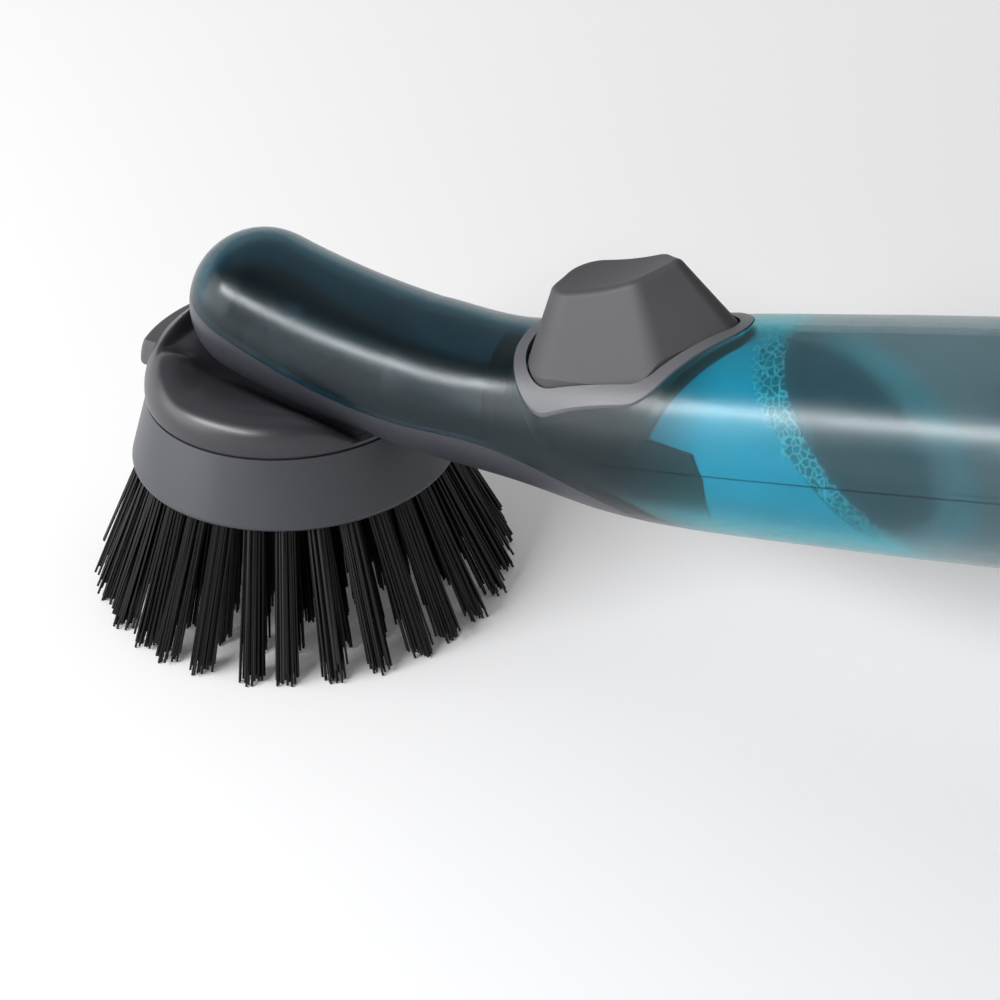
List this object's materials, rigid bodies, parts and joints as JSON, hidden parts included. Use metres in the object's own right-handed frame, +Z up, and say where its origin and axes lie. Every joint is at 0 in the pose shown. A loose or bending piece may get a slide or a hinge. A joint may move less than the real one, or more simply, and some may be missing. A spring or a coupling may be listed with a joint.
{
  "type": "soap dispensing dish wand",
  "caption": "Round-headed dish brush on a swan-necked hollow handle that holds soap, with a thumb pump button, a pull-off head held by a release tab, and a filler cap at the tail.",
  "frame": {"origin": "bottom centre of the whole object's box, on the floor under the bristle tips", "axes": "+X from the brush head toward the tail of the handle, +Y across the handle, +Z up along the head's axis"},
  "size_m": [0.246, 0.0794, 0.0947],
  "materials": {
    "shell": "smoky translucent satin",
    "grey_plastic": "satin",
    "bezel": "fine-grained satin",
    "button": "soft-touch matte",
    "dark_plastic": "satin",
    "tab": "soft-touch matte",
    "white_plastic": "natural",
    "seal": "matte",
    "hose": "milky",
    "steel": "bright",
    "bristle": "nylon",
    "soap": "clear liquid"
  },
  "bodies": {
    "arm": {"handle_shell": "shell", "neck_plate": "grey_plastic", "button_bezel": "bezel", "bezel_gasket": "seal", "pump_block": "dark_plastic", "return_spring": "steel", "ball_keeper": "steel", "outlet_valve": "seal", "outlet_fitting": "white_plastic", "bulkhead_seal": "seal", "feed_hose": "hose", "spigot": "white_plastic", "spigot_seal": "seal", "soap_fill": "soap"},
    "thumb_button": {"thumb_button": "button", "button_stem": "white_plastic", "pump_piston": "white_plastic", "piston_seal": "seal"},
    "inlet_ball": {"inlet_ball": "steel"},
    "brush_head": {"head_dome": "grey_plastic", "brush_skirt": "grey_plastic", "tuft_plate": "dark_plastic", "soap_nozzle": "seal", "tab_spring": "steel", "outer_tufts": "bristle", "middle_tufts": "bristle", "inner_tufts": "bristle", "core_tufts": "bristle"},
    "release_tab": {"release_tab": "tab"},
    "filler_cap": {"filler_cap": "grey_plastic", "cap_seal": "seal"}
  },
  "joints": [
    {"name": "button_press", "type": "slide", "parent": "arm", "child": "thumb_button", "axis": [0.1466, 0, -0.9892], "range_m": [0, 0.003], "stiffness_N_per_m": 600, "springref_m": -0.001, "deforming": ["return_spring"]},
    {"name": "inlet_ball_lift", "type": "slide", "parent": "arm", "child": "inlet_ball", "axis": [-0.1466, 0, 0.9892], "range_m": [0, 0.0008]},
    {"name": "head_pull", "type": "slide", "parent": "arm", "child": "brush_head", "axis": [0, 0, -1], "range_m": [0, 0.014]},
    {"name": "tab_press", "type": "slide", "parent": "brush_head", "child": "release_tab", "axis": [1, 0, 0], "range_m": [0, 0.002], "stiffness_N_per_m": 500, "springref_m": -0.001, "deforming": ["tab_spring"]},
    {"name": "cap_pull", "type": "slide", "parent": "arm", "child": "filler_cap", "axis": [0.9785, 0, 0.2062], "range_m": [0, 0.04]}
  ]
}
